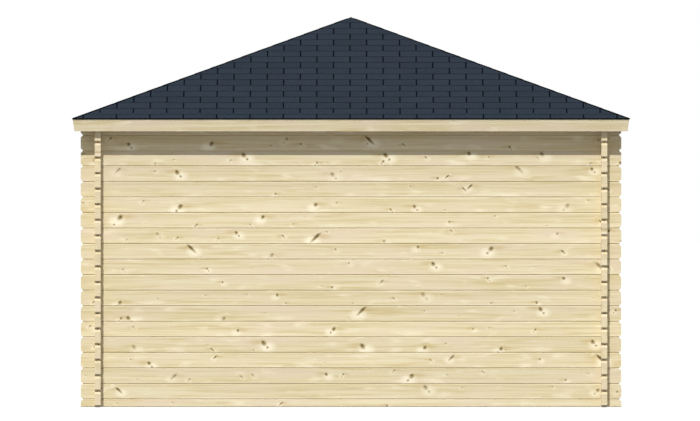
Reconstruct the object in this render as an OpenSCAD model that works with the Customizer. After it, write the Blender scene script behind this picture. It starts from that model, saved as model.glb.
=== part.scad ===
// Log summerhouse with a square plan and a tented roof.
// The plain back wall faces -Y, the door is in the front wall at +Y.
// Left and right are as seen when looking at the back wall.
// Origin: centre of the plan, on the ground. Millimetres, +Z up.

/* [Walls] */
// Length of a wall log from end to end
log_len = 4000; // [3400:10:4600]
// Thickness of a wall log
log_t = 44; // [38:1:52]
// Height that one log course adds to a wall
log_h = 115; // [105:1:125]
// Full log courses in each wall
courses = 18; // [17:1:19]
// How far a log runs on past the wall that it crosses
log_over = 105; // [85:5:125]
// Chamfer along the long edges of a log
log_chamfer = 5; // [3:0.5:7]
// Bevel across the top and the bottom of a log's end
end_bevel = 17; // [8:1:22]
// Width of the tongue along the top of a log
tongue_w = 16; // [12:1:20]
// Height of the tongue
tongue_h = 9; // [6:1:12]
// Slope of the tongue's sides, as a run over its height
tongue_taper = 2; // [1:0.5:4]
// Play round a tongue and in a corner notch
log_play = 0.5; // [0.3:0.1:1]

/* [Roof] */
// Pitch of the roof in degrees
pitch = 20; // [16:1:26]
// Reach of the roof's edge beyond the log ends
eaves = 63; // [60:1:120]
// Space between the top of a log's end and the roof boards
end_clear = 8; // [6:1:20]
// Thickness of the shingle covering
shingle_t = 6; // [4:1:8]
// How far the shingles run on past the fascia
shingle_lip = 6; // [4:1:14]
// Thickness of the roof boards
board_t = 18; // [15:1:22]
// Width of a fascia board
fascia_h = 93; // [80:1:120]
// Thickness of a fascia board
fascia_t = 20; // [16:1:24]
// Lean of the fascia, outwards at the top, in degrees
fascia_lean = 8; // [0:1:20]

/* [Roof frame] */
// Width of a common or jack rafter
rafter_w = 44; // [38:1:50]
// Depth of a rafter, square to the slope
rafter_d = 95; // [80:1:120]
// Spacing of the rafters along a wall
rafter_gap = 620; // [560:10:680]
// Jack rafters on each side of a slope's common rafter
jacks = 2; // [1:1:2]
// Width of a hip rafter
hip_w = 58; // [44:1:62]
// Depth of a hip rafter, measured plumb
hip_d = 130; // [110:1:150]
// Width across the flats of the eight-sided hub
hub_w = 160; // [152:2:200]
// Length of the hub below the roof boards
hub_len = 240; // [200:5:320]
// Gap between the eaves blocks and the rafters beside them
block_gap = 0.5; // [0.3:0.1:1]

/* [Floor] */
// Thickness of the floor boards
floor_t = 20; // [18:1:24]
// Clearance between the floor and the walls
floor_gap = 0.3; // [0.2:0.1:1]
// Width of a floor bearer
bearer_w = 44; // [40:1:60]
// Number of floor bearers
bearers = 5; // [4:1:7]
// Distance of the outer bearers from the walls
bearer_inset = 60; // [40:5:120]

/* [Door] */
// Distance between the log ends at the doorway
door_rough = 1600; // [1400:10:1700]
// Width of a jamb between the log ends and the door
jamb_w = 35; // [30:1:45]
// Depth of the door frame through the wall
frame_d = 84; // [76:1:96]
// Depth of the groove that holds the logs
cheek = 25; // [18:1:30]
// Reach of the stop that the door closes on
stop_w = 12; // [8:1:16]
// Thickness of a door leaf
leaf_t = 40; // [36:1:42]
// Gap round a door leaf
leaf_gap = 3; // [2:0.5:4]
// Clearance between a door leaf and its stop
stop_gap = 0.3; // [0.2:0.1:0.5]
// Width of the stiles and the upper rails
stile_w = 95; // [80:1:110]
// Width of the bottom rail
bottom_rail = 140; // [110:1:180]
// Height of the lower panel
panel_h = 480; // [400:10:600]
// Thickness of the lower panel
panel_t = 16; // [12:1:20]
// Thickness of the glass
glass_t = 4; // [4:1:6]
// Depth of the groove that holds the glass
glass_groove = 10; // [8:1:14]
// Play of the glass in its groove
glass_play = 0.5; // [0.3:0.1:1]
// Width of the cover strip where the leaves meet
strip_w = 40; // [30:1:50]
// Thickness of the cover strip
strip_t = 12; // [8:1:16]
// Height of the handle above the ground
handle_z = 1050; // [950:10:1150]
// Length of the handle's plate
plate_len = 220; // [180:5:260]
// Width of the handle's plate
plate_w = 40; // [34:1:46]
// Thickness of the handle's plate
plate_t = 5; // [3:1:6]
// Radius of the plate's corners
plate_round = 12; // [6:1:16]
// Diameter of the lever
lever_dia = 18; // [14:1:20]
// Length of the lever
lever_len = 115; // [95:5:130]
// Distance of the lever's axis from the face of the door
lever_out = 45; // [40:1:55]
// Radius of the bend between the lever's spindle and its grip
lever_bend = 16; // [11:1:20]
// Diameter of a hinge barrel
barrel_dia = 12; // [10:1:16]
// Height of a hinge
hinge_h = 90; // [70:5:120]
// Width of a hinge plate
hinge_w = 30; // [24:1:34]
// Thickness of a hinge plate
hinge_t = 3; // [2:0.5:4]

/* [Hidden] */

// A turn about +Z brings a piece that is drawn for the back to its own side
BACK = 0;
RIGHT = 90;
FRONT = 180;
LEFT = 270;

LOG_COLOUR = "#e0d1af";
TIMBER_COLOUR = "#dcc9a0";
SHINGLE_COLOUR = "#343d47";
STEEL_COLOUR = "#9a9c9e";
GLASS_COLOUR = "#b8d0d4";

// How far a cutting shape runs on past what it cuts
over = 1;

// Sides of round pieces, and steps round a plate's corner
round_sides = 32;
corner_steps = 6;

// Distances of a wall's faces from the middle of the plan
wall_out = log_len / 2 - log_over;
wall_mid = wall_out - log_t / 2;
wall_in = wall_out - log_t;
half_h = log_h / 2;
notch_h = log_h / 4;
wall_top = courses * log_h + half_h;

// The roof's planes, each named by its height over the middle of the plan
rise = tan(pitch);
under_c = wall_top + end_clear + (wall_out + log_over) * rise;
board_c = under_c + board_t / cos(pitch);
apex = board_c + shingle_t / cos(pitch);
rafter_c = under_c - rafter_d / cos(pitch);
tail_c = wall_top + wall_out * rise;
eaves_half = log_len / 2 + eaves;
hip_rise = rise / sqrt(2);

// Top outer edge of the fascia, under the shingles
fascia_d = eaves_half - shingle_lip;
fascia_top = board_c - fascia_d * rise;

// The doorway
door_courses = courses - 1;
sill_top = half_h;
lintel = half_h + door_courses * log_h;
jamb_in = door_rough / 2 - jamb_w;
groove_half = log_t / 2 + log_play;
leaf_y = frame_d / 2 - leaf_t;
floor_top = sill_top + floor_t;
leaf_low = floor_top + leaf_gap;
leaf_high = lintel - jamb_w - leaf_gap;
leaf_edge = jamb_in - leaf_gap;
meet = leaf_gap / 2;
panel_low = leaf_low + bottom_rail;
glass_low = panel_low + panel_h + stile_w;
glass_high = leaf_high - stile_w;
pane_in = meet + stile_w;
pane_out = leaf_edge - stile_w;
handle_x = meet + stile_w / 2;
hinge_heights = [leaf_low + stile_w * 2, (leaf_low + leaf_high) / 2, leaf_high - stile_w * 2];

// Distance of the fascia's inner face from the middle at a height z
function fascia_inner(z) = fascia_d - fascia_t / cos(fascia_lean) - tan(fascia_lean) * (fascia_top - z);

// Distance from the middle at which a roof plane meets the fascia's inner face
function end_at(c) = (fascia_d - fascia_t / cos(fascia_lean) - tan(fascia_lean) * (fascia_top - c))
    / (1 + tan(fascia_lean) * rise);

// A point of a slope's section, d out from the middle and z up, as the back side has it
function section(d, z) = [-d, z];
function on_plane(c, d) = section(d, c - d * rise);

// Extrudes a section, drawn in Y and Z, along X
module along_x(length) {
    rotate([90, 0, 90])
        translate([0, 0, -length / 2])
            linear_extrude(length)
                children();
}

// Plan wedge that one slope covers, its edges drawn in from the hip lines
module slope_wedge(inset = 0) {
    reach = log_len;
    linear_extrude(apex + over)
        polygon([[0, -inset], [-reach, -reach - inset], [reach, -reach - inset]]);
}

// All the space under the back's roof boards and within its fascia
module under_slope() {
    low = wall_top - 2 * hip_d;
    along_x(2 * log_len)
        polygon([
            section(-log_len, low),
            on_plane(under_c, -log_len),
            on_plane(under_c, end_at(under_c)),
            section(fascia_inner(low), low)
        ]);
}

// Section of a log of height h: chamfered edges, a tongue on top and a groove below
function log_section(h, tongue, groove) =
    let (
        t = log_t / 2,
        c = log_chamfer,
        w = tongue_w / 2,
        g = tongue_w / 2 + log_play,
        g_h = tongue_h + log_play
    )
    concat(
        [[t - c, 0], [t, c], [t, h - c], [t - c, h]],
        tongue ? [[w, h], [w - tongue_taper, h + tongue_h], [tongue_taper - w, h + tongue_h], [-w, h]] : [],
        [[c - t, h], [-t, h - c], [-t, c], [c - t, 0]],
        groove ? [[-g, 0], [tongue_taper - g, g_h], [g - tongue_taper, g_h], [g, 0]] : []
    );

// A log from x0 to x1, cut over and under where it crosses the other walls
module wall_log(x0, x1, h, tongue, groove, low_notch, top_notch) {
    notch_w = log_t + 2 * log_play;
    top = h + tongue_h + over;
    difference() {
        translate([(x0 + x1) / 2, 0, 0])
            along_x(x1 - x0)
                polygon(log_section(h, tongue, groove));
        for (side = [-1, 1])
            if (x0 < side * wall_mid && side * wall_mid < x1)
                scale([side, 1, 1]) {
                    if (low_notch) {
                        translate([wall_mid - notch_w / 2, -log_t, -over])
                            cube([notch_w, 2 * log_t, notch_h + over]);
                        end_cut([[over, end_bevel + over], [-end_bevel - over, -over], [over, -over]]);
                    }
                    if (top_notch) {
                        translate([wall_mid - notch_w / 2, -log_t, h - notch_h])
                            cube([notch_w, 2 * log_t, top]);
                        end_cut([
                            [over, h - end_bevel - over],
                            [over, top],
                            [h - end_bevel - top, top]
                        ]);
                    }
                }
    }
}

// Cuts a bevel across a log's end, from points given beside that end
module end_cut(points) {
    translate([log_len / 2, log_t, 0])
        rotate([90, 0, 0])
            linear_extrude(2 * log_t)
                polygon(points);
}

// One course of the front or the back wall, which starts with a half log
module long_course(i, doorway) {
    h = i == 0 ? half_h : log_h;
    ends = doorway && i > 0 && i <= door_courses
        ? [[-log_len / 2, -door_rough / 2], [door_rough / 2, log_len / 2]]
        : [[-log_len / 2, log_len / 2]];
    translate([0, -wall_mid, i == 0 ? 0 : half_h + (i - 1) * log_h])
        for (e = ends)
            wall_log(e[0], e[1], h, i < courses, i > 0, i > 0, true);
}

// One course of a side wall, which ends with a half log
module side_course(i) {
    h = i < courses ? log_h : half_h;
    translate([0, -wall_mid, i * log_h])
        wall_log(-log_len / 2, log_len / 2, h, i < courses, i > 0, true, i < courses);
}

module long_wall(turn, first, doorway = false) {
    color(LOG_COLOUR)
        rotate(turn)
            for (i = [first:2:courses])
                difference() {
                    long_course(i, doorway);
                    if (doorway && i == 0)
                        translate([-door_rough / 2, -wall_out, sill_top])
                            cube([door_rough, log_t, log_h]);
                }
}

module side_wall(turn, first) {
    color(LOG_COLOUR)
        rotate(turn)
            for (i = [first:2:courses])
                side_course(i);
}

// Places of a slope's rafters along its wall
rafter_places = [for (i = [-jacks:jacks]) i * rafter_gap];

// Bevelled blocks that close the eaves between the rafters, on top of the wall
module eaves_blocks(turn) {
    slot_w = rafter_w + 2 * block_gap;
    color(TIMBER_COLOUR)
        rotate(turn)
            difference() {
                intersection() {
                    along_x(log_len)
                        polygon([
                            section(wall_in, wall_top),
                            section(wall_out, wall_top),
                            on_plane(under_c, wall_out),
                            on_plane(under_c, wall_in)
                        ]);
                    slope_wedge(hip_w / sqrt(2) + block_gap);
                }
                for (x = rafter_places)
                    translate([x - slot_w / 2, -wall_out - over, wall_top - over])
                        cube([slot_w, log_t + 2 * over, apex]);
            }
}

// Common and jack rafters of one slope, notched over the wall and cut to the hips
module rafters(turn) {
    color(TIMBER_COLOUR)
        rotate(turn)
            intersection() {
                for (x = rafter_places)
                    translate([x, 0, 0])
                        along_x(rafter_w)
                            polygon([
                                on_plane(under_c, hub_w / 2),
                                on_plane(under_c, end_at(under_c)),
                                on_plane(tail_c, end_at(tail_c)),
                                section(wall_out, wall_top),
                                section(wall_in, wall_top),
                                on_plane(rafter_c, wall_in),
                                on_plane(rafter_c, hub_w / 2)
                            ]);
                slope_wedge(hip_w / sqrt(2));
            }
}

// Hip rafter from the hub to the corner between the back and the left
module hip_rafter(turn) {
    heel = sqrt(2) * wall_in - hip_w / 2;
    toe = sqrt(2) * wall_out + hip_w / 2;
    far = sqrt(2) * eaves_half;
    top = apex + over;
    color(TIMBER_COLOUR)
        rotate(turn)
            intersection() {
                rotate(-45)
                    along_x(hip_w)
                        polygon([
                            [-hub_w / 2, top],
                            [-far, top],
                            [-far, wall_top - (far - toe) * hip_rise],
                            [-toe, wall_top],
                            [-heel, wall_top],
                            [-heel, under_c - hip_d - heel * hip_rise],
                            [-hub_w / 2, under_c - hip_d - hub_w / 2 * hip_rise]
                        ]);
                under_slope();
                rotate(LEFT)
                    under_slope();
            }
}

// Eight-sided hub that the hips and the common rafters meet on
module roof_hub() {
    color(TIMBER_COLOUR)
        intersection() {
            translate([0, 0, under_c - hub_len])
                rotate(180 / 8)
                    cylinder(h = hub_len, d = hub_w / cos(180 / 8), $fn = 8);
            intersection_for (turn = [BACK, RIGHT, FRONT, LEFT])
                rotate(turn)
                    under_slope();
        }
}

// A layer of one slope between two roof planes, with its outer edge at out_low and out_high
module slope_layer(low_c, high_c, out_low, out_high) {
    intersection() {
        along_x(2 * log_len)
            polygon([
                on_plane(low_c, -log_t),
                on_plane(high_c, -log_t),
                on_plane(high_c, out_high),
                on_plane(low_c, out_low)
            ]);
        slope_wedge();
    }
}

module roof_boards(turn) {
    color(TIMBER_COLOUR)
        rotate(turn)
            slope_layer(under_c, board_c, end_at(under_c), end_at(board_c));
}

module shingles(turn) {
    color(SHINGLE_COLOUR)
        rotate(turn)
            slope_layer(board_c, apex, eaves_half - shingle_t * sin(pitch), eaves_half);
}

// Fascia board, leaning out at the top and mitred at the corners
module fascia(turn) {
    low = [fascia_d - fascia_h * sin(fascia_lean), fascia_top - fascia_h * cos(fascia_lean)];
    color(TIMBER_COLOUR)
        rotate(turn)
            intersection() {
                along_x(2 * log_len)
                    polygon([
                        section(fascia_d, fascia_top),
                        section(low[0], low[1]),
                        section(low[0] - fascia_t * cos(fascia_lean), low[1] + fascia_t * sin(fascia_lean)),
                        on_plane(board_c, end_at(board_c))
                    ]);
                slope_wedge();
            }
}

module floor_bearers() {
    side = wall_in - floor_gap;
    first = wall_in - bearer_inset - bearer_w / 2;
    color(TIMBER_COLOUR)
        for (i = [0:bearers - 1])
            translate([-side, -first + i * 2 * first / (bearers - 1) - bearer_w / 2, 0])
                cube([2 * side, bearer_w, sill_top]);
}

// Floor boards, cut out round the door frame
module floor_boards() {
    side = wall_in - floor_gap;
    frame_half = door_rough / 2 + cheek + floor_gap;
    color(TIMBER_COLOUR)
        difference() {
            translate([-side, -side, sill_top])
                cube([2 * side, 2 * side, floor_t]);
            translate([-frame_half, wall_mid - frame_d / 2 - floor_gap, sill_top - over])
                cube([2 * frame_half, frame_d, floor_t + 2 * over]);
        }
}

// Section of a frame piece: a stop on the door's side and a groove that clasps the logs
function frame_section(w) = [
    [-stop_w, -frame_d / 2], [w + cheek, -frame_d / 2], [w + cheek, -groove_half], [w, -groove_half],
    [w, groove_half], [w + cheek, groove_half], [w + cheek, frame_d / 2], [0, frame_d / 2],
    [0, leaf_y - stop_gap], [-stop_w, leaf_y - stop_gap]
];

module door_jamb(side) {
    color(TIMBER_COLOUR)
        scale([side, 1, 1])
            translate([jamb_in, wall_mid, sill_top])
                linear_extrude(lintel - sill_top)
                    polygon(frame_section(jamb_w));
}

// A piece of the frame across the doorway, cut to the jambs
module frame_rail(w, base_z, side) {
    length = door_rough + 2 * cheek;
    color(TIMBER_COLOUR)
        difference() {
            translate([0, wall_mid, base_z])
                scale([1, 1, side])
                    along_x(length)
                        polygon([for (p = frame_section(w)) [p[1], p[0]]]);
            for (end = [-1, 1]) {
                door_jamb(end);
                translate([end * (door_rough + cheek) / 2, wall_mid, (sill_top + lintel) / 2])
                    cube([cheek + over, 2 * groove_half, lintel - sill_top], center = true);
            }
        }
}

module door_threshold() {
    frame_rail(floor_t, floor_top, -1);
}

module door_head() {
    frame_rail(jamb_w, lintel - jamb_w, 1);
}

// Framed door leaf with a boarded lower panel and a glazed upper part
module door_leaf(side) {
    inner_w = pane_out - pane_in;
    slot_t = glass_t + 2 * glass_play;
    recess = (leaf_t - panel_t) / 2;
    color(TIMBER_COLOUR)
        scale([side, 1, 1])
            translate([0, wall_mid + leaf_y, 0])
                difference() {
                    translate([meet, 0, leaf_low])
                        cube([leaf_edge - meet, leaf_t, leaf_high - leaf_low]);
                    for (y = [-over, leaf_t - recess])
                        translate([pane_in, y, panel_low])
                            cube([inner_w, recess + over, panel_h]);
                    translate([pane_in, -over, glass_low])
                        cube([inner_w, leaf_t + 2 * over, glass_high - glass_low]);
                    translate([pane_in - glass_groove, (leaf_t - slot_t) / 2, glass_low - glass_groove])
                        cube([
                            inner_w + 2 * glass_groove,
                            slot_t,
                            glass_high - glass_low + 2 * glass_groove
                        ]);
                }
}

// The right leaf carries the cover strip over the meeting edges
module right_door_leaf() {
    door_leaf(1);
    color(TIMBER_COLOUR)
        translate([0, wall_mid + leaf_y + leaf_t, leaf_low]) {
            translate([-strip_w / 2, stop_gap, 0])
                cube([strip_w, strip_t - stop_gap, leaf_high - leaf_low]);
            translate([meet, 0, 0])
                cube([strip_w / 2 - meet, strip_t, leaf_high - leaf_low]);
        }
}

// Both panes, standing in the grooves of their leaves
module door_glass() {
    side_in = pane_in - glass_groove + glass_play;
    side_out = pane_out + glass_groove - glass_play;
    base = glass_low - glass_groove;
    color(GLASS_COLOUR)
        for (side = [-1, 1])
            scale([side, 1, 1])
                translate([side_in, wall_mid + leaf_y + (leaf_t - glass_t) / 2, base])
                    cube([side_out - side_in, glass_t, glass_high + glass_groove - glass_play - base]);
}

// Outline of the handle's plate with round corners, about its middle
function plate_outline() = [
    for (corner = [0:3], i = [0:corner_steps])
        let (
            angle = 90 * (corner + i / corner_steps),
            right = corner == 0 || corner == 3 ? 1 : -1,
            up = corner < 2 ? 1 : -1
        )
        [
            right * (plate_w / 2 - plate_round) + plate_round * cos(angle),
            up * (plate_len / 2 - plate_round) + plate_round * sin(angle)
        ]
];

// Half the section of the lever's grip, with a round tip
module grip_section(length) {
    r = lever_dia / 2;
    square([r, length]);
    translate([0, length])
        intersection() {
            circle(r, $fn = round_sides);
            square(r);
        }
}

// One half of the lever handle, seen with its plate on the plane y = 0
module lever_half() {
    rotate([-90, 0, 0])
        linear_extrude(plate_t)
            polygon(plate_outline());
    rotate([-90, 0, 0])
        cylinder(h = lever_out - lever_bend, d = lever_dia, $fn = round_sides);
    translate([lever_bend, lever_out - lever_bend, 0])
        rotate(90)
            rotate_extrude(angle = 90, $fn = round_sides)
                translate([lever_bend, 0])
                    circle(d = lever_dia, $fn = round_sides);
    translate([lever_bend, lever_out, 0])
        rotate([0, 90, 0])
            rotate_extrude($fn = round_sides)
                grip_section(lever_len - lever_bend - lever_dia / 2);
}

module door_handle() {
    color(STEEL_COLOUR)
        translate([handle_x, wall_mid + leaf_y, handle_z]) {
            translate([0, leaf_t, 0])
                lever_half();
            mirror([0, 1, 0])
                lever_half();
        }
}

// Butt hinges on the outside, screwed to the leaf and to the jamb
module door_hinges() {
    color(STEEL_COLOUR)
        for (side = [-1, 1], z = hinge_heights)
            scale([side, 1, 1])
                translate([jamb_in - leaf_gap / 2, wall_mid + frame_d / 2, z - hinge_h / 2]) {
                    translate([-hinge_w, 0, 0])
                        cube([2 * hinge_w, hinge_t, hinge_h]);
                    translate([0, barrel_dia / 2, 0])
                        cylinder(h = hinge_h, d = barrel_dia, $fn = round_sides);
                }
}

long_wall(BACK, 1);  // back_wall_odd_logs
long_wall(BACK, 0);  // back_wall_even_logs
side_wall(RIGHT, 1);  // right_wall_odd_logs
side_wall(RIGHT, 0);  // right_wall_even_logs
long_wall(FRONT, 1, true);  // front_wall_odd_logs
long_wall(FRONT, 0, true);  // front_wall_even_logs
side_wall(LEFT, 1);  // left_wall_odd_logs
side_wall(LEFT, 0);  // left_wall_even_logs
eaves_blocks(BACK);  // back_eaves_blocks
eaves_blocks(RIGHT);  // right_eaves_blocks
eaves_blocks(FRONT);  // front_eaves_blocks
eaves_blocks(LEFT);  // left_eaves_blocks
rafters(BACK);  // back_rafters
rafters(RIGHT);  // right_rafters
rafters(FRONT);  // front_rafters
rafters(LEFT);  // left_rafters
hip_rafter(BACK);  // back_left_hip_rafter
hip_rafter(RIGHT);  // back_right_hip_rafter
hip_rafter(FRONT);  // front_right_hip_rafter
hip_rafter(LEFT);  // front_left_hip_rafter
roof_hub();
roof_boards(BACK);  // back_roof_boards
roof_boards(RIGHT);  // right_roof_boards
roof_boards(FRONT);  // front_roof_boards
roof_boards(LEFT);  // left_roof_boards
shingles(BACK);  // back_shingles
shingles(RIGHT);  // right_shingles
shingles(FRONT);  // front_shingles
shingles(LEFT);  // left_shingles
fascia(BACK);  // back_fascia
fascia(RIGHT);  // right_fascia
fascia(FRONT);  // front_fascia
fascia(LEFT);  // left_fascia
floor_bearers();
floor_boards();
door_threshold();
door_jamb(-1);  // left_door_jamb
door_jamb(1);  // right_door_jamb
door_head();
door_leaf(-1);  // left_door_leaf
right_door_leaf();
door_glass();
door_handle();
door_hinges();
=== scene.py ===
import math
import random

import bmesh
import bpy
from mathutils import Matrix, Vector


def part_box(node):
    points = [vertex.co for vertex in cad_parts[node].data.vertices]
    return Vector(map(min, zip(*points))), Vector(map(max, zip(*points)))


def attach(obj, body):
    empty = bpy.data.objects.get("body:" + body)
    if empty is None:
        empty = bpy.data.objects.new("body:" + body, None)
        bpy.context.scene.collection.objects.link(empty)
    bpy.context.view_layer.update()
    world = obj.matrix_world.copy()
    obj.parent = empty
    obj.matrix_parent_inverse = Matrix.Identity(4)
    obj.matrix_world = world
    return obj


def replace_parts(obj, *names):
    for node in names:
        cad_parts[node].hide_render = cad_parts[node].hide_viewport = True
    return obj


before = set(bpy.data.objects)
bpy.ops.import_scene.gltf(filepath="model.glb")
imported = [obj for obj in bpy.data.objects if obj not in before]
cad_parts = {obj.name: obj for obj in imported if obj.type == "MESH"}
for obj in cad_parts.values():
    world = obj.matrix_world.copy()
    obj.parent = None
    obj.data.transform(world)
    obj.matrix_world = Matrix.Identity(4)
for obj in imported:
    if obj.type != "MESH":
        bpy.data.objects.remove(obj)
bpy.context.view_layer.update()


# Wall logs. Planed spruce logs with a tongue and a groove, notched over and under where they cross at the
# corners and stacked dry, each wall half a course out of step with the two that it crosses. Painted shade
# darkens each joint below the lower edge of the eaves' shadow, and the lower bevel of each log end.
COURSES = 18
logs_low, logs_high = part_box("back_wall_even_logs")
log_h = logs_high.z / (COURSES + 0.5)
wall_out = -logs_low.y
wall_mid = -(logs_low.y + logs_high.y) / 2

PALE_WOOD = (0.828, 0.738, 0.507, 1)
STRAW_WOOD = (0.66, 0.535, 0.28, 1)
ROSY_WOOD = (0.785, 0.66, 0.475, 1)
WHITE_WOOD = (0.99, 0.908, 0.692, 1)
RESIN_WOOD = (0.58, 0.425, 0.165, 1)
KNOT_WOOD = (0.33, 0.23, 0.065, 1)
KNOT_HEART = (0.105, 0.07, 0.022, 1)
END_WOOD = (0.72, 0.59, 0.385, 1)
RING_W = 0.0028
BIG_KNOT = 0.0128
BIG_KNOT_GAP = 0.58
SMALL_KNOT = 0.0062
SMALL_KNOT_GAP = 0.37
JOINT_SHADE = 0.38
JOINT_EDGE = (0.0062, 0.0035)
END_SHADE = 0.32
END_EDGE = (0.019, 0.013)


class Shade:
    """One socket of a material's node tree. Arithmetic on it adds Math nodes."""

    def __init__(self, tree, socket=None):
        self.tree = tree
        self.socket = socket

    def node(self, kind, settings=None, sockets=None, out=0):
        """Adds a node: first its settings, then the values or links of its sockets."""
        made = self.tree.nodes.new(kind)
        for name, value in (settings or {}).items():
            setattr(made, name, value)
        for name, value in (sockets or {}).items():
            if isinstance(value, Shade):
                self.tree.links.new(value.socket, made.inputs[name])
            else:
                made.inputs[name].default_value = value
        return Shade(self.tree, made.outputs[out] if made.outputs else None)

    def outputs(self):
        """Every output of the node that this one belongs to."""
        return [Shade(self.tree, output) for output in self.socket.node.outputs]

    def math(self, operation, *values):
        return self.node("ShaderNodeMath", {"operation": operation}, dict(enumerate(values)))

    def __add__(self, other):
        return self.math("ADD", self, other)

    def __sub__(self, other):
        return self.math("SUBTRACT", self, other)

    def __mul__(self, other):
        return self.math("MULTIPLY", self, other)

    def __truediv__(self, other):
        return self.math("DIVIDE", self, other)

    def __pow__(self, other):
        return self.math("POWER", self, other)

    def __radd__(self, other):
        return self.math("ADD", other, self)

    def __rsub__(self, other):
        return self.math("SUBTRACT", other, self)

    def __rmul__(self, other):
        return self.math("MULTIPLY", other, self)

    def __rtruediv__(self, other):
        return self.math("DIVIDE", other, self)

    def __abs__(self):
        return self.math("ABSOLUTE", self)

    def __lt__(self, other):
        return self.math("LESS_THAN", self, other)

    def __gt__(self, other):
        return self.math("GREATER_THAN", self, other)

    def floor(self):
        return self.math("FLOOR", self)

    def most(self, other):
        return self.math("MAXIMUM", self, other)

    def least(self, other):
        return self.math("MINIMUM", self, other)

    def split(self):
        """The three parts of a vector or a colour."""
        return self.node("ShaderNodeSeparateXYZ", None, {0: self}).outputs()

    def vector(self, *parts):
        return self.node("ShaderNodeCombineXYZ", None, dict(enumerate(parts)))

    def noise(self, *parts, detail=2.0):
        sockets = {"Vector": self.vector(*parts), "Scale": 1, "Detail": detail}
        return self.node("ShaderNodeTexNoise", None, sockets)

    def chance(self, *parts):
        """Three values from 0 to 1 that belong to whole numbers."""
        return self.node("ShaderNodeTexWhiteNoise", None, {"Vector": self.vector(*parts)}, out=1).split()

    def ramp(self, low, high):
        """0 below low and 1 above high, smooth between; low may be the larger."""
        sockets = {"Value": self, "From Min": low, "From Max": high}
        return self.node("ShaderNodeMapRange", {"interpolation_type": "SMOOTHSTEP"}, sockets)

    def blend(self, a, b):
        """Colour a where this is 0 and b where it is 1."""
        return self.node("ShaderNodeMix", {"data_type": "RGBA"}, {0: self, 6: a, 7: b}, out=2)

    def tint(self, colour):
        """Multiplies a colour by this value."""
        grey = self.node("ShaderNodeCombineColor", None, {0: self, 1: self, 2: self})
        settings = {"data_type": "RGBA", "blend_type": "MULTIPLY"}
        return self.node("ShaderNodeMix", settings, {0: 1, 6: colour, 7: grey}, out=2)


def new_material(name):
    made = bpy.data.materials.new(name)
    made.use_nodes = True
    return made, Shade(made.node_tree), made.node_tree.nodes["Principled BSDF"]


def finish_surface(shade, shader, height, depth, strength, **sockets):
    """Links what varies over the surface to the shader, and its height as a bump."""
    normal = shade.node("ShaderNodeBump", None, {"Strength": strength, "Distance": depth, "Height": height})
    for name, value in {**sockets, "Normal": normal}.items():
        shade.tree.links.new(value.socket, shader.inputs[name.replace("_", " ")])


def knots(shade, along, offset, board, spacing, size, share, seed):
    """Knots of one size in cells along a board: knot, heart, the pale and the resinous wood, the swerve."""
    run = along / spacing + board * 0.37
    cell = run.floor()
    place, rise, scale = shade.chance(cell, board, seed)
    there, side, sort = shade.chance(cell, board, seed + 0.5)
    radius = size * (0.45 + 0.65 * scale)
    lean = (side > 0.5) * 2 - 1
    away = (run - cell - (0.28 + 0.44 * place)) * spacing * lean
    up = offset - (rise - 0.5) * (log_h * 0.7)
    exists = (there < share) * (0.5 + 0.5 * (rise * 7.3 - (rise * 7.3).floor()).ramp(0.1, 0.6))
    ragged = 1.3 * (shade.noise(along * 95, offset * 95, seed) - 0.5)
    spike = sort > 0.78
    slant, square = away * 0.75 - up * 0.66, away * 0.66 + up * 0.75
    long = 0.9 + 0.5 * scale + 1.5 * spike
    reach = ((slant / long) ** 2 + (square * (1 + 0.5 * spike)) ** 2) ** 0.5 / radius + ragged
    twin = ((slant - 3.1 * radius) ** 2 + (square + 0.4 * radius) ** 2) ** 0.5 / (radius * 0.6) + ragged
    reach = reach.least(twin + 9 * (sort > 0.4))
    knot = exists * reach.ramp(1.8, 0.5)
    core = ((slant / long + 0.3 * radius) ** 2 + (square - 0.25 * radius) ** 2) ** 0.5 / radius + ragged
    heart = exists * core.ramp(1.0, 0.2)
    pale = (((away - 1.9 * radius) / 2.9) ** 2 + ((up + 2.1 * radius) / 1.9) ** 2) ** 0.5 / radius
    pale = exists * (pale + ragged).ramp(2.2, 0.4) * (0.5 + 0.5 * scale)
    resin = (((away + 3.2 * radius) / 4.6) ** 2 + ((up - 0.5 * radius) / 1.2) ** 2) ** 0.5 / radius
    resin = exists * resin.ramp(1.8, 0.1)
    return knot, heart, pale, resin, exists * reach.ramp(5.0, 0.4) * up


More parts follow.
